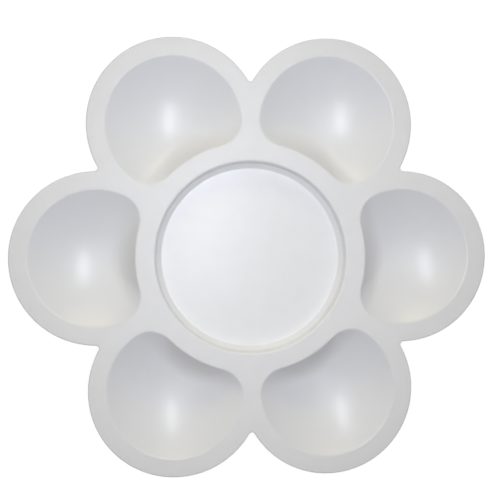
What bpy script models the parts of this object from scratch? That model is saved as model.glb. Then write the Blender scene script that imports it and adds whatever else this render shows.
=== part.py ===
"""Flower-shaped mixing palette, a white plastic moulding kept as its nine named features.

Six round petals stand about a shallow round mixing well. Each petal holds a bean-shaped paint
well that hangs below the flat deck, and a turned-down rim stiffens the outline. Lengths are in
metres, +Z is up, and the palette stands on the flats under its paint wells, centred on Z.
"""

import math

import bmesh
import bpy
from mathutils import Vector

# Plan of the moulding
PETAL_COUNT = 6
PAINT_WELL_RADIUS = 0.0255  # outer side of a paint well, struck from the petal centre
PAINT_WELL_CORNER_RADIUS = 0.0100  # the two rounded corners on its inner side
WEB_WIDTH = 0.0066  # deck left between two neighbouring paint wells
RING_WIDTH = 0.0073  # deck left between the mixing well and the paint wells
RIM_WIDTH = 0.0069  # deck and rim left outside a paint well
NOTCH_RADIUS = 0.0012  # round in the notch between two petals
MIXING_WELL_RADIUS = 0.0361

# Depths, walls and rounds
WALL = 0.0015
PAINT_WELL_DEPTH = 0.0100
MIXING_WELL_DEPTH = 0.0050
MIXING_WELL_BREAK = 0.0032  # depth where its steep side turns into a slope
MIXING_WELL_SIDE = 0.0006  # how far the steep side leans in
MIXING_WELL_SLOPE = 0.0018  # width of the slope down to its floor
MOUTH_ROUND = 0.0008  # where the deck turns down into a well
RIM_ROUND = 0.0005  # where the deck turns down into the rim
RIM_HEIGHT = 0.0040
RIM_LAND = 0.0005  # flat strip that the rim keeps inside its own wall
FOOT_FLATTENING = 0.0004  # taken off the bottom of each bowl so that it stands

# Bowl of a paint well: a round dish about the petal's middle, with a wall beside the mixing well
WALL_SLOPE = 2.0  # steepness of that wall
WALL_BLEND = 0.0090  # height over which it runs into the dish

# Gap that parts one feature of the moulding from the next
SEAM = 0.0003

# Facets
PETAL_STEPS = 16
NOTCH_STEPS = 3
PAINT_WELL_STEPS = 48
MIXING_WELL_STEPS = 48
ROUND_STEPS = 3
BOWL_STEPS = 6
SMALL_SHARE = 0.001  # part of a section over which its slope is taken
SAME_PLACE = 0.000001  # vertices nearer than this are one

# Colours and roughness of the plastic
DECK_COLOUR = (0.80, 0.81, 0.82, 1.0)
WELL_COLOUR = (0.84, 0.85, 0.87, 1.0)
DECK_ROUGHNESS = 0.44
WELL_ROUGHNESS = 0.30
SHARP_ANGLE = math.radians(40)

# Places that follow from the sizes above
HALF_PITCH = math.pi / PETAL_COUNT
PETAL_RING_RADIUS = (PAINT_WELL_RADIUS + WEB_WIDTH / 2) / math.sin(HALF_PITCH)
PETAL_RADIUS = PAINT_WELL_RADIUS + RIM_WIDTH
PAINT_WELL_INNER_RADIUS = max(
    MIXING_WELL_RADIUS + RING_WIDTH, PETAL_RING_RADIUS - PAINT_WELL_RADIUS
)
LAND = WALL  # flat strip that a well keeps round its mouth, so that its wall stays below it
DECK_TOP = PAINT_WELL_DEPTH + WALL - FOOT_FLATTENING


def arc(centre, radius, start, end, steps):
    """Points in plan along an arc, both ends included."""
    turns = [start + (end - start) * i / steps for i in range(steps + 1)]
    return [centre + radius * Vector((math.cos(t), math.sin(t))) for t in turns]


def flower_outline(inset):
    """The palette's outline in plan, moved inwards by inset."""
    reach = PETAL_RADIUS + NOTCH_RADIUS
    across = PETAL_RING_RADIUS * math.sin(HALF_PITCH)
    notch_distance = PETAL_RING_RADIUS * math.cos(HALF_PITCH) + math.sqrt(reach**2 - across**2)
    points = []
    for petal in range(PETAL_COUNT):
        way = 2 * HALF_PITCH * petal
        centre = PETAL_RING_RADIUS * Vector((math.cos(way), math.sin(way)))
        bisector = way + HALF_PITCH
        notch = notch_distance * Vector((math.cos(bisector), math.sin(bisector)))
        to_notch = math.atan2(*(notch - centre).yx)
        half = (to_notch - way + math.pi) % (2 * math.pi) - math.pi
        points += arc(centre, PETAL_RADIUS - inset, way - half, way + half, PETAL_STEPS)
        inwards = bisector + math.pi
        swing = inwards - (way + half + math.pi)
        notch_round = arc(notch, NOTCH_RADIUS + inset, inwards - swing, inwards + swing, NOTCH_STEPS)
        points += notch_round[1:-1]
    return points


def ray_to_circle(centre, radius, way, side):
    """Distance from the petal's middle to a circle, at its far side (+1) or near side (-1)."""
    along = centre.dot(way)
    return along + side * math.sqrt(max(along**2 - centre.length_squared + radius**2, 0.0))


def mouth_distance(turn, offset=0.0):
    """Distance in plan from the petal's middle to the paint well's mouth, moved out by offset."""
    way = Vector((math.cos(turn), abs(math.sin(turn))))
    petal = Vector((PETAL_RING_RADIUS, 0.0))
    to_petal = PAINT_WELL_RADIUS - PAINT_WELL_CORNER_RADIUS
    to_hub = PAINT_WELL_INNER_RADIUS + PAINT_WELL_CORNER_RADIUS
    corner_x = (to_hub**2 - to_petal**2 + PETAL_RING_RADIUS**2) / (2 * PETAL_RING_RADIUS)
    corner = Vector((corner_x, math.sqrt(max(to_hub**2 - corner_x**2, 0.0))))
    corner_start = corner - petal
    corner_end = corner * PAINT_WELL_INNER_RADIUS / to_hub - petal
    heading = math.atan2(way.y, way.x)
    if heading <= math.atan2(corner_start.y, corner_start.x):
        return PAINT_WELL_RADIUS + offset
    if heading <= math.atan2(corner_end.y, corner_end.x):
        return ray_to_circle(corner - petal, PAINT_WELL_CORNER_RADIUS + offset, way, 1)
    return ray_to_circle(-petal, PAINT_WELL_INNER_RADIUS - offset, way, -1)


def blended(first, second, reach):
    """The higher of two heights, with a smooth change from one to the other."""
    near = max(reach - abs(first - second), 0.0) / reach
    return max(first, second) + near**2 * reach / 4


def bowl_height(point):
    """Height from the deck's top of a paint well's bowl, at a point from the petal's middle."""
    dish = PAINT_WELL_DEPTH * (point.length_squared / PAINT_WELL_RADIUS**2 - 1)
    from_ring = (point + Vector((PETAL_RING_RADIUS, 0.0))).length - PAINT_WELL_INNER_RADIUS
    return blended(dish, -WALL_SLOPE * from_ring, WALL_BLEND)


def bowl_section(turn):
    """One section of a paint well, from its floor up to the mouth and back down underneath.

    Each point is its distance from the petal's middle and its height from the deck's top. A share
    is the way out from the middle to the mouth.
    """
    mouth = mouth_distance(turn)
    edge = mouth * Vector((math.cos(turn), math.sin(turn)))
    misfit = bowl_height(edge)

    def height(share):
        return bowl_height(edge * share) - misfit * share**4

    def slope(share):
        rise = height(share + SMALL_SHARE) - height(share - SMALL_SHARE)
        return math.atan(rise / (2 * SMALL_SHARE * mouth))

    def underside(share):
        lean = slope(share)
        return share * mouth + WALL * math.sin(lean), height(share) - WALL * math.cos(lean)

    def underside_share(level):
        low, high = 0.0, 1.0
        while high - low > SMALL_SHARE / 1000:
            middle = (low + high) / 2
            if underside(middle)[1] < level:
                low = middle
            else:
                high = middle
        return low

    lean = slope(1.0)
    tangent = MOUTH_ROUND * math.tan(lean / 2)
    top_share = 1 - tangent * math.cos(lean) / mouth
    section = []
    for step in range(1, BOWL_STEPS):
        share = top_share * step / BOWL_STEPS
        section.append((share * mouth, height(share)))
    for step in range(ROUND_STEPS, -1, -1):
        turned = lean * step / ROUND_STEPS
        offset = tangent - MOUTH_ROUND * math.sin(turned)
        section.append((mouth_distance(turn, offset), -MOUTH_ROUND * (1 - math.cos(turned))))
    land_edge = mouth_distance(turn, LAND)
    section += [(land_edge, 0.0), (land_edge, -WALL)]

    top_under, foot = underside_share(-WALL), underside_share(-DECK_TOP)
    section.append((underside(top_under)[0], -WALL))
    for step in range(1, BOWL_STEPS):
        section.append(underside(top_under + (foot - top_under) * step / BOWL_STEPS))
    section.append((underside(foot)[0], -DECK_TOP))
    return section


def ring_edges(bm, ring):
    """The edges that close a ring of vertices, made where they are missing."""
    pairs = [(ring[i - 1], ring[i]) for i in range(len(ring))]
    return [bm.edges.get(pair) or bm.edges.new(pair) for pair in pairs]


def new_ring(bm, points):
    """A closed ring of vertices and edges through the points."""
    ring = [bm.verts.new(point) for point in points]
    ring_edges(bm, ring)
    return ring


def skin(bm, levels):
    """Lead a ring through every level by extrusion, and return the first and last ring."""
    first = ring = new_ring(bm, levels[0])
    for points in levels[1:]:
        known = set(bm.verts)
        bmesh.ops.extrude_edge_only(bm, edges=ring_edges(bm, ring))
        ends = [[edge.other_vert(vert) for edge in vert.link_edges] for vert in ring]
        ring = [next(vert for vert in others if vert not in known) for others in ends]
        for vert, point in zip(ring, points):
            vert.co = point
    return first, ring


def finished_mesh(name, bm):
    """The bmesh as a mesh that faces outwards, smooth but for its sharp edges."""
    bmesh.ops.recalc_face_normals(bm, faces=bm.faces)
    mesh = bpy.data.meshes.new(name)
    bm.to_mesh(mesh)
    bm.free()
    mesh.shade_smooth()
    mesh.set_sharp_from_angle(angle=SHARP_ANGLE)
    return mesh


def paint_well_mesh():
    """A bean-shaped bowl with its mouth in the deck's top, pointing along +X."""
    bm = bmesh.new()
    turns = [2 * math.pi * i / PAINT_WELL_STEPS for i in range(PAINT_WELL_STEPS)]
    sections = [bowl_section(turn) for turn in turns]
    levels = []
    for level in zip(*sections):
        levels.append([
            (PETAL_RING_RADIUS + out * math.cos(turn), out * math.sin(turn), height)
            for turn, (out, height) in zip(turns, level)
        ])
    floor_ring, foot_ring = skin(bm, levels)
    bmesh.ops.edgeloop_fill(bm, edges=ring_edges(bm, foot_ring))
    floor = bmesh.ops.edgeloop_fill(bm, edges=ring_edges(bm, floor_ring))["faces"]
    centre = bmesh.ops.poke(bm, faces=floor)["verts"]
    for vert in centre:
        vert.co = (PETAL_RING_RADIUS, 0.0, -PAINT_WELL_DEPTH)
    return finished_mesh("paint_well", bm)


def offset_path(path, distance):
    """A path in section moved to its right by a distance, with its corners kept sharp."""
    ways = [(end - start).normalized() for start, end in zip(path, path[1:])]
    sides = [Vector((way.y, -way.x)) for way in ways]
    moved = [path[0] + sides[0] * distance]
    for corner, before, after in zip(path[1:], sides, sides[1:]):
        moved.append(corner + (before + after) * distance / (1 + before.dot(after)))
    return moved + [path[-1] + sides[-1] * distance]


def mixing_well_mesh():
    """A round recess with a steep side, a slope and a flat floor, turned about Z."""
    side_foot = MIXING_WELL_RADIUS - MIXING_WELL_SIDE
    section = [
        Vector((0.0, -MIXING_WELL_DEPTH)),
        Vector((side_foot - MIXING_WELL_SLOPE, -MIXING_WELL_DEPTH)),
        Vector((side_foot, -MIXING_WELL_BREAK)),
        Vector((MIXING_WELL_RADIUS, 0.0)),
        Vector((MIXING_WELL_RADIUS + LAND, 0.0)),
    ]
    lean = math.atan2(MIXING_WELL_BREAK, MIXING_WELL_SIDE)
    tangent = MOUTH_ROUND * math.tan(lean / 2)
    profile = section[:3]
    for step in range(ROUND_STEPS, -1, -1):
        turned = lean * step / ROUND_STEPS
        out = MIXING_WELL_RADIUS + tangent - MOUTH_ROUND * math.sin(turned)
        profile.append(Vector((out, MOUTH_ROUND * (math.cos(turned) - 1))))
    profile += section[-1:] + offset_path(section, WALL)[::-1]

    bm = bmesh.new()
    verts = [bm.verts.new((x, 0.0, z)) for x, z in profile]
    edges = [bm.edges.new(pair) for pair in zip(verts, verts[1:])]
    bmesh.ops.spin(
        bm, geom=verts + edges, axis=(0, 0, 1), angle=2 * math.pi, steps=MIXING_WELL_STEPS, use_merge=True
    )
    bmesh.ops.remove_doubles(bm, verts=bm.verts, dist=SAME_PLACE)
    return finished_mesh("mixing_well", bm)


def outer_rim_mesh():
    """The rounded edge and its turned-down wall, led round the flower outline."""
    inner = WALL + RIM_LAND
    turned = [math.pi / 2 * step / ROUND_STEPS for step in range(ROUND_STEPS + 1)]
    profile = [(inner, 0.0)]
    profile += [
        (RIM_ROUND * (1 - math.sin(t)), RIM_ROUND * (math.cos(t) - 1)) for t in turned
    ]
    profile += [(0.0, -RIM_HEIGHT), (WALL, -RIM_HEIGHT), (WALL, -WALL), (inner, -WALL)]

    bm = bmesh.new()
    levels = []
    for inset, height in profile + profile[:1]:
        levels.append([(point.x, point.y, height) for point in flower_outline(inset)])
    skin(bm, levels)
    bmesh.ops.remove_doubles(bm, verts=bm.verts, dist=SAME_PLACE)
    return finished_mesh("outer_rim", bm)


def deck_mesh():
    """The flat web between the rim and the wells."""
    bm = bmesh.new()
    outline = [(point.x, point.y, 0.0) for point in flower_outline(WALL + RIM_LAND + SEAM)]
    edges = ring_edges(bm, new_ring(bm, outline))
    hole = arc(Vector((0, 0)), MIXING_WELL_RADIUS + LAND + SEAM, 0, 2 * math.pi, MIXING_WELL_STEPS)
    edges += ring_edges(bm, new_ring(bm, [(point.x, point.y, 0.0) for point in hole[:-1]]))
    for petal in range(PETAL_COUNT):
        way = 2 * HALF_PITCH * petal
        along = Vector((math.cos(way), math.sin(way), 0.0))
        across = Vector((-along.y, along.x, 0.0))
        points = []
        for step in range(PAINT_WELL_STEPS):
            turn = 2 * math.pi * step / PAINT_WELL_STEPS
            out = mouth_distance(turn, LAND + SEAM)
            forth = PETAL_RING_RADIUS + out * math.cos(turn)
            points.append(along * forth + across * out * math.sin(turn))
        edges += ring_edges(bm, new_ring(bm, points))
    bmesh.ops.triangle_fill(bm, edges=edges, use_beauty=True)
    sheet = bmesh.ops.extrude_face_region(bm, geom=bm.faces[:])
    moved = [item for item in sheet["geom"] if isinstance(item, bmesh.types.BMVert)]
    bmesh.ops.translate(bm, verts=moved, vec=(0.0, 0.0, -WALL))
    return finished_mesh("deck", bm)


def plastic(name, colour, roughness):
    """White moulded plastic."""
    material = bpy.data.materials.new(name)
    material.use_nodes = True
    shader = material.node_tree.nodes["Principled BSDF"]
    shader.inputs["Base Color"].default_value = colour
    shader.inputs["Roughness"].default_value = roughness
    shader.inputs["Metallic"].default_value = 0.0
    return material


def add_piece(name, mesh, palette, turn=0.0):
    """One feature of the moulding, hung from the deck's top and turned about Z."""
    piece = bpy.data.objects.new(name, mesh)
    piece.parent = palette
    piece.location.z = DECK_TOP
    piece.rotation_euler.z = turn
    bpy.context.scene.collection.objects.link(piece)


def main():
    for old in list(bpy.data.objects):
        bpy.data.objects.remove(old)
    palette = bpy.data.objects.new("palette", None)
    bpy.context.scene.collection.objects.link(palette)

    meshes = {
        "deck": (deck_mesh(), DECK_COLOUR, DECK_ROUGHNESS),
        "outer_rim": (outer_rim_mesh(), DECK_COLOUR, DECK_ROUGHNESS),
        "mixing_well": (mixing_well_mesh(), WELL_COLOUR, WELL_ROUGHNESS),
    }
    for name, (mesh, colour, roughness) in meshes.items():
        mesh.materials.append(plastic(name + "_plastic", colour, roughness))
        add_piece(name, mesh, palette)

    bowl = paint_well_mesh()
    bowl.materials.append(plastic("paint_well_plastic", WELL_COLOUR, WELL_ROUGHNESS))
    for petal in range(PETAL_COUNT):
        add_piece(f"paint_well_{petal + 1}", bowl, palette, 2 * HALF_PITCH * petal)


main()
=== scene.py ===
"""Flower-shaped mixing palette in white plastic: its surfaces, finish, stage, light and camera.

The palette is one moulding. Its nine pieces stand for the nine features of the frame, and they
meet edge to edge on the flat of the deck, so that no seam shows. Lengths are in metres, +Z is up,
and the palette stands on the flats under its paint wells.
"""

import math

import bmesh
import bpy
from bpy.props import FloatProperty, FloatVectorProperty, IntProperty, PointerProperty
from mathutils import Matrix, Vector
from mathutils.kdtree import KDTree


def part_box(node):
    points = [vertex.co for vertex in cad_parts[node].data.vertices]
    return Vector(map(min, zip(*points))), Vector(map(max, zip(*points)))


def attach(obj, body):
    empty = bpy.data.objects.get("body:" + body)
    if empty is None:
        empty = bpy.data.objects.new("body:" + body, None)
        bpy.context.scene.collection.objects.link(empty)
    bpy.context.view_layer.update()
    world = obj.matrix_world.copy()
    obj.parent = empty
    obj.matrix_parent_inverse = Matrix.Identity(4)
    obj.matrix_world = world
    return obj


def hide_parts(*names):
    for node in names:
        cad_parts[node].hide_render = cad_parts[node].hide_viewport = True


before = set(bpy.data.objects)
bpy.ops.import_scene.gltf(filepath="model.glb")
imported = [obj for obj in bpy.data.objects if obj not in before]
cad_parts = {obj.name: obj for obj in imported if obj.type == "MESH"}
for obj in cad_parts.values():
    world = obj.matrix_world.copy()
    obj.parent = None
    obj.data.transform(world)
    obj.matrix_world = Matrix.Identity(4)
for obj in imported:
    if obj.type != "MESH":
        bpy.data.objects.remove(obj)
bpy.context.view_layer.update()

bl_info = {
    "name": "Flower Mixing Palette",
    "version": (1, 0, 0),
    "blender": (4, 5, 0),
    "location": "3D View > Sidebar > Palette",
    "description": "Builds a white plastic flower palette, its finish and a soft studio stage",
    "category": "Add Mesh",
}

BODY = "root"

# Sizes that the frame fixes
DECK_LOW, DECK_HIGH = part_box("deck")
RIM_LOW, RIM_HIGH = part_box("outer_rim")
MIXING_LOW, MIXING_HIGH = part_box("mixing_well")
WELL_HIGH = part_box("paint_well_1")[1]
WALL = DECK_HIGH.z - DECK_LOW.z
HALF_SEAM = 0.00015  # a piece reaches half across the frame's hairline, and so meets the next
RIM_FLAT = 0.0005  # flat that the rim keeps inside its own wall
FOOT_FLATTENING = 0.0004  # taken off the bottom of each bowl so that it stands

# Finishes of one piece, in the order of its material slots
SATIN, POLISHED, SMOOTH, UNDERSIDE = range(4)

# Modelling
UP = Vector((0.0, 0.0, 1.0))
TINY = 0.00001  # heights nearer than this are one
SAME_PLACE = 0.000001  # corners nearer than this are one
SHARP_ANGLE = math.radians(35)  # an edge sharper than this isn't smoothed over
CORNER_ANGLE = 0.3  # an edge underneath that is sharper than this is rounded
UNDER_LIMIT = 0.2  # a face underneath, or a side, points no higher than this
UNDERSIDE_LIMIT = -0.05  # a face that points lower than this has the underside's finish

# Steps in arcs and rounds
PETAL_STEPS = 48
NOTCH_STEPS = 10
WELL_STEPS = 60
CORNER_STEPS = 16
HOLLOW_STEPS = 20
MIXING_STEPS = 144
BOWL_ROWS = 24
EDGE_STEPS = 8
MOUTH_STEPS = 6
INSIDE_STEPS = 4
BREAK_STEPS = 3
FLOOR_STEPS = 64

# Flat kept beside a round, as a share of the round's width
WELL_SHOULDER = 1.5
MIXING_SHOULDER = 1.3
COVE_SHOULDER = 1.4

RISE_POWER = 4  # how close to its mouth a bowl is drawn up to the deck

# Finish and stage
WHITE = (1.0, 1.0, 1.0, 1.0)
PLASTIC_IOR = 1.50
WIPE_WAYS = (0.4, 2.1)  # directions of the wiping marks
WIPE_STRETCH = 0.04  # width of a wiping mark as a share of its length
SENSOR_WIDTH = 36.0
FLOOR_GAP = 0.00005  # the floor lies this far under the palette's feet


def length(name, description, default):
    """A length that a user can set."""
    return FloatProperty(
        name=name, description=description, default=default, min=0.0, precision=5, unit="LENGTH"
    )


def share(name, description, default):
    """A share from none to all."""
    return FloatProperty(
        name=name, description=description, default=default, min=0.0, max=1.0, subtype="FACTOR"
    )


def angle(name, description, degrees):
    """An angle that a user can set."""
    return FloatProperty(
        name=name, description=description, default=math.radians(degrees), unit="ROTATION"
    )


def count(name, description, default):
    """A whole number that a user can set."""
    return IntProperty(name=name, description=description, default=default, min=1)


def colour(name, description, default):
    """A linear colour that a user can set."""
    return FloatVectorProperty(
        name=name, description=description, default=default, min=0.0, max=1.0, subtype="COLOR"
    )


def amount(name, description, default):
    """A plain number that a user can set."""
    return FloatProperty(name=name, description=description, default=default)


def lengths(name, description, default):
    """A place, or a width and a length, that a user can set."""
    return FloatVectorProperty(
        name=name, description=description, default=default, size=len(default), unit="LENGTH"
    )


class PaletteSizes(bpy.types.PropertyGroup):
    """Sizes of the moulding."""

    petals: count("Petals", "Petals round the mixing well", 6)
    reach: length("Reach", "From the middle to a petal's tip", RIM_HIGH.x)
    deck_top: length("Deck height", "Height of the deck's top", DECK_HIGH.z)
    wall: length("Wall", "Thickness of the plastic", WALL)
    notch_radius: length("Notch radius", "Round between two petals", 0.0012)

    rim_height: length("Rim height", "Height of the turned-down rim", RIM_HIGH.z - RIM_LOW.z)
    rim_strip: length("Rim strip", "Flat that belongs to the rim", WALL + RIM_FLAT + HALF_SEAM)
    rim_round: length("Rim round", "Round on the outer edge", 0.0005)
    rim_hem: length("Rim hem", "Round on the rim's lower edges", 0.0004)

    well_radius: length("Paint well radius", "Outer side of a paint well", 0.0255)
    well_corner: length("Paint well corner", "Round of its two inner corners", 0.0100)
    well_far: length("Paint well far side", "From the palette's middle", WELL_HIGH.x - WALL)
    well_near: length("Paint well near side", "From the palette's middle", 0.0434)
    well_depth: length(
        "Paint well depth", "Deck to the bottom of the bowl", DECK_HIGH.z - WALL + FOOT_FLATTENING
    )
    well_slope: amount("Paint well slope", "Steepness of its wall beside the mixing well", 2.0)
    well_blend: length("Paint well blend", "Height over which that wall runs into the dish", 0.009)
    well_mouth: length("Paint well mouth", "Width of the round at its mouth", 0.00045)

    mixing_radius: length("Mixing well radius", "Mouth of the mixing well", MIXING_HIGH.x - WALL)
    mixing_depth: length(
        "Mixing well depth", "Deck to its floor", DECK_HIGH.z - WALL - MIXING_LOW.z
    )
    mixing_mouth: length("Mixing well mouth", "Width of the round at its mouth", 0.00075)
    mixing_break: length("Mixing well break", "Depth where its side turns in", 0.0032)
    mixing_side: length("Mixing well side", "How far its upper side leans in", 0.0006)
    mixing_slope: length("Mixing well slope", "Width of its lower, sloping side", 0.0018)
    mixing_under: length("Mixing well inside", "Round where its walls meet underneath", 0.00025)
    mixing_cove: length("Mixing well cove", "Round between the slope and the floor", 0.00025)

    land: length("Well land", "Flat that a well keeps round its mouth", WALL + HALF_SEAM)
    under_round: length("Inside round", "Round where walls meet underneath", 0.0004)


class PaletteFinish(bpy.types.PropertyGroup):
    """Colours and surface of the plastic."""

    deck_colour: colour("Deck colour", "Satin white of the deck", (0.830, 0.835, 0.842))
    well_colour: colour("Well colour", "Polished white of the wells", (0.815, 0.822, 0.835))
    # The mixing well's floor is whiter than the deck: partly its own plastic, partly painted sheen,
    # a lift of its colour that stands in for the lamps' glossy glow on the floor.
    mixing_white_and_painted_sheen: colour("Mixing colour", "Smooth white of the mixing well", (0.852, 0.859, 0.870))
    under_colour: colour("Underside colour", "White of the unseen side", (0.775, 0.780, 0.786))
    deck_roughness: share("Deck roughness", "Satin of the deck", 0.44)
    well_roughness: share("Well roughness", "Polish of the paint wells", 0.29)
    mixing_roughness: share("Mixing roughness", "Duller polish of the mixing well", 0.315)
    under_roughness: share("Underside roughness", "Unpolished mould side", 0.58)
    grain_size: length("Grain size", "Width of the deck's moulded grain", 0.00040)
    grain_height: length("Grain height", "Height of the deck's moulded grain", 0.000010)
    ripple_size: length("Ripple size", "Width of the wells' slow ripple", 0.0045)
    ripple_height: length("Ripple height", "Height of the wells' slow ripple", 0.000008)
    cloud_size: length("Cloud size", "Width of the plastic's slow clouding", 0.006)
    deck_clouding: share("Deck clouding", "Swing of the colour, but for the paint wells", 0.06)
    well_clouding: share("Well clouding", "Swing of the colour in the paint wells", 0.02)
    wipe_size: length("Wiping size", "Width of the wiping marks", 0.0008)
    wipe_dulling: share("Wiping dulling", "Roughness that a wiping mark adds", 0.06)


class PaletteStage(bpy.types.PropertyGroup):
    """Floor, light and camera."""

    floor_radius: length("Floor radius", "Reach of the floor", 4.0)
    floor_colour: colour("Floor colour", "Pale floor", (0.80, 0.80, 0.80))
    floor_shading: colour("Floor shading", "Part that takes shadows, as seen", (0.30, 0.30, 0.30))
    floor_glow: amount("Floor glow", "Part that stays white, as seen", 0.90)
    sky_colour: colour("Sky colour", "Soft light from all round", (1.0, 0.93, 0.947))
    sky_level: amount("Sky level", "Strength of the light from all round", 0.182)
    near_place: lengths("Near lamp place", "Lamp close above the palette", (-0.0095, 0.034, 0.185))
    near_size: lengths("Near lamp size", "Width and length", (0.020, 0.120))
    near_colour: colour("Near lamp colour", "Cool white", (0.869, 0.910, 1.0))
    near_power: amount("Near lamp power", "Watts", 0.132)
    over_place: lengths("Overhead place", "Broad lamp overhead", (0.0, 0.0, 0.80))
    over_size: lengths("Overhead size", "Width and length", (0.60, 0.60))
    over_colour: colour("Overhead colour", "Almost white", (0.973, 0.985, 1.0))
    over_power: amount("Overhead power", "Watts", 1.508)
    back_place: lengths("Back lamp place", "Low lamp behind the palette", (0.0, 0.80, 0.35))
    back_size: lengths("Back lamp size", "Width and length", (0.60, 0.20))
    back_colour: colour("Back lamp colour", "Warm", (1.0, 0.883, 0.445))
    back_power: amount("Back lamp power", "Watts", 1.355)
    left_place: lengths("Left lamp place", "Low lamp left of the palette", (-0.80, 0.10, 0.35))
    left_size: lengths("Left lamp size", "Width and length", (0.20, 0.60))
    left_colour: colour("Left lamp colour", "Slightly warm", (1.0, 0.941, 0.654))
    left_power: amount("Left lamp power", "Watts", 0.384)
    camera_distance: length("Camera distance", "From the deck to the camera", 0.42)
    camera_left: angle("Camera left", "How far it stands to the left of straight above", 5.6)
    camera_back: angle("Camera back", "How far it stands behind straight above", 1.7)
    camera_roll: angle("Camera roll", "Turn about the line of sight", -0.26)
    camera_lens: amount("Camera lens", "Focal length in millimetres", 80.55)
    aim_left: length("Aim left", "Where it looks, left of the palette's middle", 0.0005)
    aim_back: length("Aim back", "Where it looks, behind the palette's middle", 0.0028)


# Outlines

def arc(bm, corner, centre, turn, steps):
    """Sweep a corner round a centre, leave a wire arc behind it and return its far end."""
    swept = bmesh.ops.spin(bm, geom=[corner], cent=centre, axis=UP, angle=turn, steps=steps)
    return next(item for item in swept["geom_last"] if isinstance(item, bmesh.types.BMVert))


def filled(bm, start, end):
    """Join the two ends of a wire outline and fill it with one face that looks up."""
    bmesh.ops.weld_verts(bm, targetmap={end: start})
    wire = [edge for edge in bm.edges if not edge.link_faces]
    face = bmesh.ops.edgeloop_fill(bm, edges=wire)["faces"][0]
    face.normal_update()
    if face.normal.z < 0:
        face.normal_flip()
    return face


def polar(centre, radius, turn):
    """A point at a distance and a direction from a centre, at the centre's height."""
    return centre + radius * Vector((math.cos(turn), math.sin(turn), 0.0))


def flower_face(bm, sizes):
    """The flower outline at the deck's top: round petals joined by small rounds in the notches."""
    hub = Vector((0.0, 0.0, sizes.deck_top))
    pitch = 2 * math.pi / sizes.petals
    ring = sizes.well_far - sizes.well_radius
    radius = sizes.reach - ring
    to_notch = radius + sizes.notch_radius
    across = ring * math.sin(pitch / 2)
    notch_reach = ring * math.cos(pitch / 2) + math.sqrt(to_notch**2 - across**2)
    first_notch = polar(hub, notch_reach, pitch / 2) - polar(hub, ring, 0.0)
    half = math.atan2(first_notch.y, first_notch.x)
    swing = half - pitch / 2

    start = end = bm.verts.new(polar(polar(hub, ring, 0.0), radius, -half))
    for petal in range(sizes.petals):
        end = arc(bm, end, polar(hub, ring, pitch * petal), 2 * half, PETAL_STEPS)
        notch = polar(hub, notch_reach, pitch * (petal + 0.5))
        end = arc(bm, end, notch, -2 * swing, NOTCH_STEPS)
    return filled(bm, start, end)


def bean_face(bm, sizes):
    """The outline of the first paint well's land: a round side, two corners and a hollow side."""
    hub = Vector((0.0, 0.0, sizes.deck_top))
    ring = sizes.well_far - sizes.well_radius
    to_petal = sizes.well_radius - sizes.well_corner
    to_hub = sizes.well_near + sizes.well_corner
    corner_x = (to_hub**2 - to_petal**2 + ring**2) / (2 * ring)
    corner_y = math.sqrt(to_hub**2 - corner_x**2)
    petal = polar(hub, ring, 0.0)
    left = hub + Vector((corner_x, corner_y, 0.0))
    right = hub + Vector((corner_x, -corner_y, 0.0))
    half = math.atan2(corner_y, corner_x - ring)
    hollow = math.atan2(corner_y, corner_x)
    turn = math.pi - half + hollow

    start = bm.verts.new(polar(petal, sizes.well_radius + sizes.land, -half))
    end = arc(bm, start, petal, 2 * half, WELL_STEPS)
    end = arc(bm, end, left, turn, CORNER_STEPS)
    end = arc(bm, end, hub, -2 * hollow, HOLLOW_STEPS)
    end = arc(bm, end, right, turn, CORNER_STEPS)
    return filled(bm, start, end)


def circle_face(bm, sizes):
    """The outline of the mixing well's land."""
    bmesh.ops.create_circle(
        bm, cap_ends=True, segments=MIXING_STEPS, radius=sizes.mixing_radius + sizes.land,
        matrix=Matrix.Translation((0.0, 0.0, sizes.deck_top)),
    )
    face = next(iter(bm.faces))
    if face.normal.z < 0:
        face.normal_flip()
    return face


# Modelling steps

def inset(bm, face, width, sink=0.0):
    """Draw a face in by a width, then lower it."""
    bmesh.ops.inset_individual(bm, faces=[face], thickness=width, use_even_offset=True)
    bmesh.ops.translate(bm, verts=face.verts, vec=(0.0, 0.0, -sink))


def ring_edges(bm, verts):
    """The edges that join a ring of corners."""
    return [bm.edges.get((verts[i - 1], verts[i])) for i in range(len(verts))]


def rounded(bm, edges, width, segments):
    """Round edges over a width on either side of them."""
    bmesh.ops.bevel(
        bm, geom=edges, offset=width, offset_type="OFFSET", segments=segments, profile=0.5,
        affect="EDGES", material=-1, clamp_overlap=True,
    )


def thickened(bm, sizes, spare=()):
    """Give the skin its wall, on the lower side.

    A spare corner serves the upper side alone. It comes with the corner of the flat's outer edge
    beside it. Underneath, the two become one, and the wall about them is made level.
    """
    bmesh.ops.solidify(bm, geom=bm.faces[:], thickness=sizes.wall)
    level = sizes.deck_top - sizes.wall
    lower = [vert for vert in bm.verts if vert.co.z < level + sizes.wall / 2]
    nearest = KDTree(len(lower))
    for i, vert in enumerate(lower):
        nearest.insert(vert.co, i)
    nearest.balance()
    joined = {}
    for pair in spare:
        copy, kept = (lower[nearest.find(corner.co - UP * sizes.wall)[1]] for corner in pair)
        joined[copy] = kept
    under_flat = [face for face in bm.faces if any(vert in joined for vert in face.verts)]
    for face in under_flat:
        for vert in face.verts:
            vert.co.z = level
    bmesh.ops.weld_verts(bm, targetmap=joined)
    bm.normal_update()


def lies_at(edge, height):
    """Whether an edge lies level at a height."""
    return all(abs(vert.co.z - height) < TINY for vert in edge.verts)


def under_corners(bm, sizes):
    """Edges where two walls meet underneath, but for those where a piece meets the next."""
    found = []
    for edge in bm.edges:
        faces = edge.link_faces
        if len(faces) != 2 or any(face.normal.z > UNDER_LIMIT for face in faces):
            continue
        meets_next = edge.is_convex and lies_at(edge, sizes.deck_top - sizes.wall)
        if edge.calc_face_angle() > CORNER_ANGLE and not meets_next:
            found.append(edge)
    return found


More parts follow.
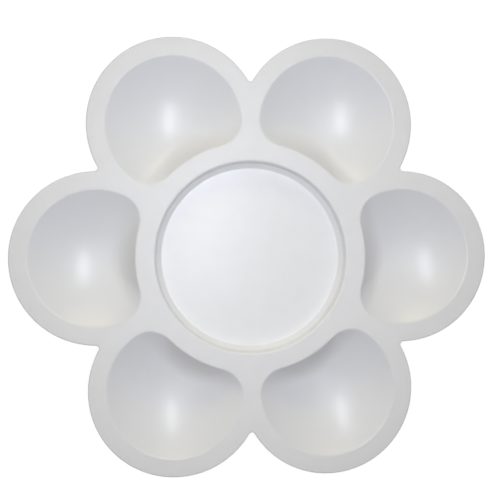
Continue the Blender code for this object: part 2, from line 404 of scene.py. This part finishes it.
def dressed(name, bm, materials):
    """The bmesh as an object at the origin, smooth but for its sharp edges."""
    bm.normal_update()
    for face in bm.faces:
        if face.normal.z < UNDERSIDE_LIMIT:
            face.material_index = UNDERSIDE
    mesh = bpy.data.meshes.new(name)
    bm.to_mesh(mesh)
    bm.free()
    mesh.shade_smooth()
    mesh.set_sharp_from_angle(angle=SHARP_ANGLE)
    for material in materials:
        mesh.materials.append(material)
    piece = bpy.data.objects.new(name, mesh)
    bpy.context.scene.collection.objects.link(piece)
    return piece


def seated(piece, node):
    """Let a piece ride on the palette's body and stand for its node, whose own mesh is hidden."""
    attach(piece, BODY)
    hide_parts(node)


# Pieces

def deck_piece(sizes, materials):
    """The flat web between the rim and the wells."""
    bm = bmesh.new()
    flower = flower_face(bm, sizes)
    inset(bm, flower, sizes.rim_strip)
    outline = set(flower.verts)
    bmesh.ops.delete(bm, geom=[vert for vert in bm.verts if vert not in outline], context="VERTS")
    bmesh.ops.delete(bm, geom=[flower], context="FACES_ONLY")
    pitch = 2 * math.pi / sizes.petals
    for petal in range(sizes.petals):
        hole = bean_face(bm, sizes)
        turn = Matrix.Rotation(pitch * petal, 3, "Z")
        bmesh.ops.rotate(bm, verts=hole.verts, cent=(0.0, 0.0, 0.0), matrix=turn)
    circle_face(bm, sizes)
    bmesh.ops.delete(bm, geom=bm.faces[:], context="FACES_ONLY")
    bmesh.ops.triangle_fill(bm, edges=bm.edges[:], use_beauty=True)
    sheet = bmesh.ops.extrude_face_region(bm, geom=bm.faces[:])["geom"]
    lower = [item for item in sheet if isinstance(item, bmesh.types.BMVert)]
    bmesh.ops.translate(bm, verts=lower, vec=(0.0, 0.0, -sizes.wall))
    bmesh.ops.recalc_face_normals(bm, faces=bm.faces)
    return dressed("palette_deck", bm, materials)


def rim_piece(sizes, materials):
    """The rounded edge and its turned-down wall, led round the flower."""
    bm = bmesh.new()
    flower = flower_face(bm, sizes)
    outer = list(flower.verts)
    inset(bm, flower, sizes.rim_strip)
    bmesh.ops.delete(bm, geom=[flower], context="FACES_ONLY")
    edges = ring_edges(bm, outer)
    skirt = bmesh.ops.extrude_edge_only(bm, edges=edges)["geom"]
    hem = [item for item in skirt if isinstance(item, bmesh.types.BMVert)]
    bmesh.ops.translate(bm, verts=hem, vec=(0.0, 0.0, -sizes.rim_height))
    thickened(bm, sizes)
    hem_height = sizes.deck_top - sizes.rim_height
    hem_edges = [
        edge for edge in bm.edges
        if lies_at(edge, hem_height) and edge.calc_face_angle() > SHARP_ANGLE
    ]
    rounded(bm, under_corners(bm, sizes), sizes.under_round, INSIDE_STEPS)
    rounded(bm, edges, sizes.rim_round, EDGE_STEPS)
    rounded(bm, [edge for edge in hem_edges if edge.is_valid], sizes.rim_hem, INSIDE_STEPS)
    return dressed("palette_rim", bm, materials)


def mixing_piece(sizes, materials):
    """The round, flat-floored recess."""
    bm = bmesh.new()
    face = circle_face(bm, sizes)
    shoulder = sizes.mixing_mouth * MIXING_SHOULDER
    land = list(face.verts)
    inset(bm, face, sizes.land - shoulder)
    spare = list(zip(face.verts, land))
    inset(bm, face, shoulder)
    mouth = list(face.verts)
    inset(bm, face, sizes.mixing_side, sizes.mixing_break)
    crease = list(face.verts)
    inset(bm, face, sizes.mixing_slope, sizes.mixing_depth - sizes.mixing_break)
    cove = list(face.verts)
    # The floor takes the smooth finish, whose colour is lifted as painted sheen.
    face.material_index = SMOOTH
    inset(bm, face, sizes.mixing_cove * COVE_SHOULDER)
    bmesh.ops.poke(bm, faces=[face])
    rings = [ring_edges(bm, ring) for ring in (mouth, crease, cove)]
    thickened(bm, sizes, spare)
    rounded(bm, under_corners(bm, sizes), sizes.mixing_under, INSIDE_STEPS)
    rounded(bm, rings[0], sizes.mixing_mouth, EDGE_STEPS)
    rounded(bm, rings[1], sizes.mixing_cove, BREAK_STEPS)
    rounded(bm, rings[2], sizes.mixing_cove, INSIDE_STEPS)
    return dressed("palette_mixing_well", bm, materials)


def blended(first, second, reach):
    """The higher of two heights, with a smooth change from one to the other."""
    near = max(reach - abs(first - second), 0.0) / reach
    return max(first, second) + near**2 * reach / 4


def bowl_height(sizes, point):
    """Height of a bowl at a point from the petal's middle.

    It is a round dish that runs into a steeper wall along the mixing well's ring.
    """
    ring = sizes.well_far - sizes.well_radius
    dish = sizes.well_depth * (point.xy.length_squared / sizes.well_radius**2 - 1)
    from_ring = (point.xy + Vector((ring, 0.0))).length - sizes.well_near
    return blended(dish, -sizes.well_slope * from_ring, sizes.well_blend)


def bowl_point(sizes, edge, way):
    """The bowl's point at a share of the way out from the petal's middle to the mouth's edge."""
    point = edge * way
    point.z = bowl_height(sizes, point) - bowl_height(sizes, edge) * way**RISE_POWER
    return point


def bowl_piece(sizes, petal, materials):
    """A bean-shaped bowl with a flat foot, turned to its petal."""
    bm = bmesh.new()
    face = bean_face(bm, sizes)
    shoulder = sizes.well_mouth * WELL_SHOULDER
    land = list(face.verts)
    inset(bm, face, sizes.land - shoulder)
    spare = list(zip(face.verts, land))
    inset(bm, face, shoulder)
    mouth = list(face.verts)
    face.material_index = POLISHED
    middle = Vector((sizes.well_far - sizes.well_radius, 0.0, sizes.deck_top))
    edge = [vert.co - middle for vert in mouth]
    for row in range(1, BOWL_ROWS):
        inset(bm, face, TINY)
        for vert, from_middle in zip(face.verts, edge):
            vert.co = middle + bowl_point(sizes, from_middle, 1 - row / BOWL_ROWS)
    bottom = bmesh.ops.poke(bm, faces=[face])["verts"][0]
    bottom.co = middle - UP * sizes.well_depth
    mouth_edges = ring_edges(bm, mouth)
    thickened(bm, sizes, spare)
    rounded(bm, under_corners(bm, sizes), sizes.under_round, INSIDE_STEPS)
    rounded(bm, mouth_edges, sizes.well_mouth, MOUTH_STEPS)
    bmesh.ops.remove_doubles(bm, verts=bm.verts, dist=SAME_PLACE)
    everything = bm.verts[:] + bm.edges[:] + bm.faces[:]
    cut = bmesh.ops.bisect_plane(
        bm, geom=everything, dist=SAME_PLACE, plane_co=(0.0, 0.0, 0.0), plane_no=-UP,
        clear_outer=True,
    )["geom_cut"]
    foot_edges = [item for item in cut if isinstance(item, bmesh.types.BMEdge)]
    bmesh.ops.edgeloop_fill(bm, edges=foot_edges)
    turn = Matrix.Rotation(2 * math.pi / sizes.petals * petal, 3, "Z")
    bmesh.ops.rotate(bm, verts=bm.verts, cent=(0.0, 0.0, 0.0), matrix=turn)
    return dressed(f"palette_paint_well_{petal + 1}", bm, materials)


# Finish

def add_node(tree, kind, inputs=None, **settings):
    """A node with its settings, whose inputs take a value or a link."""
    made = tree.nodes.new(kind)
    for name, value in settings.items():
        setattr(made, name, value)
    for name, value in (inputs or {}).items():
        if isinstance(value, bpy.types.NodeSocket):
            tree.links.new(value, made.inputs[name])
        else:
            made.inputs[name].default_value = value
    return made


def new_group(name, inputs, outputs):
    """An empty node group with named sockets, its input node and its output node."""
    tree = bpy.data.node_groups.new(name, "ShaderNodeTree")
    for socket, kind in inputs.items():
        tree.interface.new_socket(socket, in_out="INPUT", socket_type=kind)
    for socket, kind in outputs.items():
        tree.interface.new_socket(socket, in_out="OUTPUT", socket_type=kind)
    return tree, tree.nodes.new("NodeGroupInput"), tree.nodes.new("NodeGroupOutput")


def add_math(tree, operation, *values, **settings):
    """A Math node on two or three values, and its result."""
    made = add_node(
        tree, "ShaderNodeMath", dict(enumerate(values)), operation=operation, **settings
    )
    return made.outputs[0]


def sized_coordinates(tree, size):
    """Object coordinates counted in steps of a size."""
    spot = add_node(tree, "ShaderNodeTexCoord").outputs["Object"]
    steps = add_math(tree, "DIVIDE", 1.0, size)
    scaled = add_node(
        tree, "ShaderNodeVectorMath", {"Vector": spot, "Scale": steps}, operation="SCALE"
    )
    return scaled.outputs["Vector"]


def add_noise(tree, spot, **settings):
    """Soft noise at a place, and its value."""
    made = add_node(tree, "ShaderNodeTexNoise", {"Vector": spot, "Scale": 1.0, **settings})
    return made.outputs["Fac"]


def grain_group():
    """Fine moulded grain: rounded bumps with pits between them."""
    tree, inward, outward = new_group(
        "Moulded grain", {"Size": "NodeSocketFloat"}, {"Height": "NodeSocketFloat"}
    )
    spot = sized_coordinates(tree, inward.outputs["Size"])
    noise = add_noise(tree, spot, Detail=3.0, Roughness=0.6)
    cells = add_node(
        tree, "ShaderNodeTexVoronoi", {"Vector": spot, "Scale": 0.8, "Smoothness": 0.6},
        feature="SMOOTH_F1",
    )
    height = add_math(tree, "MULTIPLY_ADD", cells.outputs["Distance"], -0.5, noise)
    tree.links.new(height, outward.inputs["Height"])
    return tree


def mottle_group():
    """Slow clouding of the plastic's colour."""
    tree, inward, outward = new_group(
        "Plastic clouding",
        {"Colour": "NodeSocketColor", "Size": "NodeSocketFloat", "Amount": "NodeSocketFloat"},
        {"Colour": "NodeSocketColor"},
    )
    spot = sized_coordinates(tree, inward.outputs["Size"])
    noise = add_noise(tree, spot, Detail=4.0, Roughness=0.55)
    swing = add_math(tree, "SUBTRACT", noise, 0.5)
    value = add_math(tree, "MULTIPLY_ADD", swing, inward.outputs["Amount"], 1.0)
    tinted = add_node(
        tree, "ShaderNodeHueSaturation", {"Color": inward.outputs["Colour"], "Value": value}
    )
    tree.links.new(tinted.outputs["Color"], outward.inputs["Colour"])
    return tree


def wipe_group():
    """Faint hairlines left by wiping, in two directions."""
    tree, inward, outward = new_group(
        "Wiping marks", {"Size": "NodeSocketFloat"}, {"Mask": "NodeSocketFloat"}
    )
    spot = sized_coordinates(tree, inward.outputs["Size"])
    masks = []
    for way in WIPE_WAYS:
        laid = add_node(
            tree, "ShaderNodeMapping",
            {"Vector": spot, "Rotation": (0.0, 0.0, way), "Scale": (WIPE_STRETCH, 1.0, 1.0)},
        )
        lines = add_noise(tree, laid.outputs["Vector"], Detail=2.0)
        thin = add_node(
            tree, "ShaderNodeMapRange", {"Value": lines, "From Min": 0.60, "From Max": 0.72}
        )
        masks.append(thin.outputs["Result"])
    both = add_math(tree, "MAXIMUM", *masks)
    tree.links.new(both, outward.inputs["Mask"])
    return tree


def placed(tree, group, inputs):
    """A group placed in a material with its own values."""
    made = tree.nodes.new("ShaderNodeGroup")
    made.node_tree = group
    for name, value in inputs.items():
        made.inputs[name].default_value = value
    return made


def plastic(name, groups, finish, tint, roughness, relief, clouding):
    """White moulded plastic with its relief, clouding and wiping marks."""
    grain, mottle, wipe = groups
    relief_size, relief_height = relief
    material = bpy.data.materials.new(name)
    material.use_nodes = True
    tree = material.node_tree
    shader = tree.nodes["Principled BSDF"]
    clouds = placed(
        tree, mottle, {"Colour": (*tint, 1.0), "Size": finish.cloud_size, "Amount": clouding}
    )
    tree.links.new(clouds.outputs["Colour"], shader.inputs["Base Color"])
    marks = placed(tree, wipe, {"Size": finish.wipe_size})
    rough = add_math(tree, "MULTIPLY_ADD", marks.outputs["Mask"], finish.wipe_dulling, roughness)
    tree.links.new(rough, shader.inputs["Roughness"])
    bumps = placed(tree, grain, {"Size": relief_size})
    bump = add_node(
        tree, "ShaderNodeBump",
        {"Height": bumps.outputs["Height"], "Distance": relief_height, "Strength": 1.0},
    )
    tree.links.new(bump.outputs["Normal"], shader.inputs["Normal"])
    shader.inputs["IOR"].default_value = PLASTIC_IOR
    return material


def plastics(finish):
    """The four finishes of the moulding, in the order of a piece's slots."""
    grain = (finish.grain_size, finish.grain_height)
    ripple = (finish.ripple_size, finish.ripple_height)
    deck, well = finish.deck_clouding, finish.well_clouding
    looks = {
        "satin_deck": (finish.deck_colour, finish.deck_roughness, grain, deck),
        "polished_paint_well": (finish.well_colour, finish.well_roughness, ripple, well),
        # The mixing well's colour is partly its own white, partly painted sheen.
        "smooth_mixing_well": (finish.mixing_white_and_painted_sheen, finish.mixing_roughness, grain, deck),
        "plain_underside": (finish.under_colour, finish.under_roughness, grain, deck),
    }
    if all(name in bpy.data.materials for name in looks):
        return [bpy.data.materials[name] for name in looks]
    groups = (grain_group(), mottle_group(), wipe_group())
    return [plastic(name, groups, finish, *look) for name, look in looks.items()]


# Stage

def seen_rays(tree):
    """A mask of the rays that show a background: camera, glossy and transmission."""
    ray = add_node(tree, "ShaderNodeLightPath").outputs
    pair = add_math(tree, "ADD", ray["Is Camera Ray"], ray["Is Glossy Ray"])
    return add_math(tree, "ADD", pair, ray["Is Transmission Ray"], use_clamp=True)


def add_mix(tree, first, second):
    """The second shader where a background is seen, and the first elsewhere."""
    sockets = {0: seen_rays(tree), 1: first.outputs[0], 2: second.outputs[0]}
    return add_node(tree, "ShaderNodeMixShader", sockets).outputs[0]


def add_floor(stage):
    """A wide pale floor that looks white and keeps a soft shadow."""
    bm = bmesh.new()
    bmesh.ops.create_circle(
        bm, cap_ends=True, segments=FLOOR_STEPS, radius=stage.floor_radius,
        matrix=Matrix.Translation((0.0, 0.0, -FLOOR_GAP)),
    )
    mesh = bpy.data.meshes.new("studio_floor")
    bm.to_mesh(mesh)
    bm.free()
    material = bpy.data.materials.new("pale_floor")
    material.use_nodes = True
    tree = material.node_tree
    tree.nodes.remove(tree.nodes["Principled BSDF"])
    plain = add_node(tree, "ShaderNodeBsdfDiffuse", {"Color": (*stage.floor_colour, 1.0)})
    faint = add_node(tree, "ShaderNodeBsdfDiffuse", {"Color": (*stage.floor_shading, 1.0)})
    glow = add_node(tree, "ShaderNodeEmission", {"Color": WHITE, "Strength": stage.floor_glow})
    shown = add_node(tree, "ShaderNodeAddShader", {0: faint.outputs[0], 1: glow.outputs[0]})
    tree.links.new(add_mix(tree, plain, shown), tree.nodes["Material Output"].inputs["Surface"])
    mesh.materials.append(material)
    floor = bpy.data.objects.new("studio_floor", mesh)
    bpy.context.scene.collection.objects.link(floor)


def add_sky(stage):
    """Soft light from all round, on a white background."""
    world = bpy.data.worlds.new("studio_sky")
    world.use_nodes = True
    tree = world.node_tree
    soft = tree.nodes["Background"]
    soft.inputs["Color"].default_value = (*stage.sky_colour, 1.0)
    soft.inputs["Strength"].default_value = stage.sky_level
    white = add_node(tree, "ShaderNodeBackground", {"Color": WHITE, "Strength": 1.0})
    tree.links.new(add_mix(tree, soft, white), tree.nodes["World Output"].inputs["Surface"])
    bpy.context.scene.world = world


def facing(place, target, roll=0.0):
    """The turn of a camera or lamp that looks from a place at a target, with +Y up in its view."""
    back = (place - target).normalized()
    right = Vector((0.0, 1.0, 0.0)).cross(back).normalized()
    turn = Matrix((right, back.cross(right), back)).transposed()
    return (turn @ Matrix.Rotation(roll, 3, "Z")).to_euler()


def add_lamp(stage, name, target):
    """A soft rectangular lamp that the camera doesn't see."""
    data = bpy.data.lights.new(name + "_lamp", "AREA")
    data.shape = "RECTANGLE"
    data.size, data.size_y = getattr(stage, name + "_size")
    data.energy = getattr(stage, name + "_power")
    data.color = getattr(stage, name + "_colour")
    lamp = bpy.data.objects.new(name + "_lamp", data)
    lamp.location = getattr(stage, name + "_place")
    lamp.rotation_euler = facing(lamp.location, target)
    lamp.visible_camera = False
    bpy.context.scene.collection.objects.link(lamp)


def add_camera(stage, middle):
    """A camera almost straight above the palette."""
    data = bpy.data.cameras.new("studio_camera")
    data.sensor_width = SENSOR_WIDTH
    data.lens = stage.camera_lens
    left, back = math.sin(stage.camera_left), math.sin(stage.camera_back)
    way = Vector((-left, back, math.sqrt(1 - left**2 - back**2)))
    target = middle + Vector((-stage.aim_left, stage.aim_back, 0.0))
    camera = bpy.data.objects.new("studio_camera", data)
    camera.location = middle + way * stage.camera_distance
    camera.rotation_euler = facing(camera.location, target, stage.camera_roll)
    bpy.context.scene.collection.objects.link(camera)
    bpy.context.scene.camera = camera


# Operators

class PALETTE_OT_deck(bpy.types.Operator):
    """Add the flat web between the rim and the wells"""

    bl_idname = "mixing_palette.add_deck"
    bl_label = "Deck"

    def execute(self, context):
        scene = context.scene
        piece = deck_piece(scene.palette_sizes, plastics(scene.palette_finish))
        seated(piece, "deck")
        return {"FINISHED"}


class PALETTE_OT_rim(bpy.types.Operator):
    """Add the rounded, turned-down rim"""

    bl_idname = "mixing_palette.add_rim"
    bl_label = "Outer Rim"

    def execute(self, context):
        scene = context.scene
        piece = rim_piece(scene.palette_sizes, plastics(scene.palette_finish))
        seated(piece, "outer_rim")
        return {"FINISHED"}


class PALETTE_OT_mixing_well(bpy.types.Operator):
    """Add the round mixing well"""

    bl_idname = "mixing_palette.add_mixing_well"
    bl_label = "Mixing Well"

    def execute(self, context):
        scene = context.scene
        piece = mixing_piece(scene.palette_sizes, plastics(scene.palette_finish))
        seated(piece, "mixing_well")
        return {"FINISHED"}


class PALETTE_OT_paint_wells(bpy.types.Operator):
    """Add a paint well in each petal"""

    bl_idname = "mixing_palette.add_paint_wells"
    bl_label = "Paint Wells"

    def execute(self, context):
        scene = context.scene
        for petal in range(scene.palette_sizes.petals):
            piece = bowl_piece(scene.palette_sizes, petal, plastics(scene.palette_finish))
            seated(piece, f"paint_well_{petal + 1}")
        return {"FINISHED"}


class PALETTE_OT_stage(bpy.types.Operator):
    """Add the floor, the sky, the lamps and the camera"""

    bl_idname = "mixing_palette.set_stage"
    bl_label = "Stage"

    def execute(self, context):
        scene = context.scene
        stage = scene.palette_stage
        target = Vector((0.0, 0.0, scene.palette_sizes.deck_top))
        add_floor(stage)
        add_sky(stage)
        for lamp in ("near", "over", "back", "left"):
            add_lamp(stage, lamp, target)
        add_camera(stage, target)
        scene.view_settings.view_transform = "Standard"
        return {"FINISHED"}


class PALETTE_PT_panel(bpy.types.Panel):
    """Buttons that build the palette and its stage"""

    bl_idname = "PALETTE_PT_panel"
    bl_label = "Mixing Palette"
    bl_space_type = "VIEW_3D"
    bl_region_type = "UI"
    bl_category = "Palette"

    def draw(self, context):
        for operator in OPERATORS:
            self.layout.operator(operator.bl_idname)
        for group in GROUPS:
            settings = getattr(context.scene, group)
            box = self.layout.box()
            for name in settings.bl_rna.properties.keys():
                if name not in ("rna_type", "name"):
                    box.prop(settings, name)


GROUPS = {
    "palette_sizes": PaletteSizes,
    "palette_finish": PaletteFinish,
    "palette_stage": PaletteStage,
}
OPERATORS = (
    PALETTE_OT_deck,
    PALETTE_OT_rim,
    PALETTE_OT_mixing_well,
    PALETTE_OT_paint_wells,
    PALETTE_OT_stage,
)


def register():
    for group in GROUPS.values():
        bpy.utils.register_class(group)
    for operator in OPERATORS:
        bpy.utils.register_class(operator)
    bpy.utils.register_class(PALETTE_PT_panel)
    for name, group in GROUPS.items():
        setattr(bpy.types.Scene, name, PointerProperty(type=group))


def unregister():
    for name in GROUPS:
        delattr(bpy.types.Scene, name)
    bpy.utils.unregister_class(PALETTE_PT_panel)
    for operator in reversed(OPERATORS):
        bpy.utils.unregister_class(operator)
    for group in GROUPS.values():
        bpy.utils.unregister_class(group)


def main():
    register()
    bpy.ops.mixing_palette.add_deck()
    bpy.ops.mixing_palette.add_rim()
    bpy.ops.mixing_palette.add_mixing_well()
    bpy.ops.mixing_palette.add_paint_wells()
    bpy.ops.mixing_palette.set_stage()


if __name__ == "__main__":
    main()
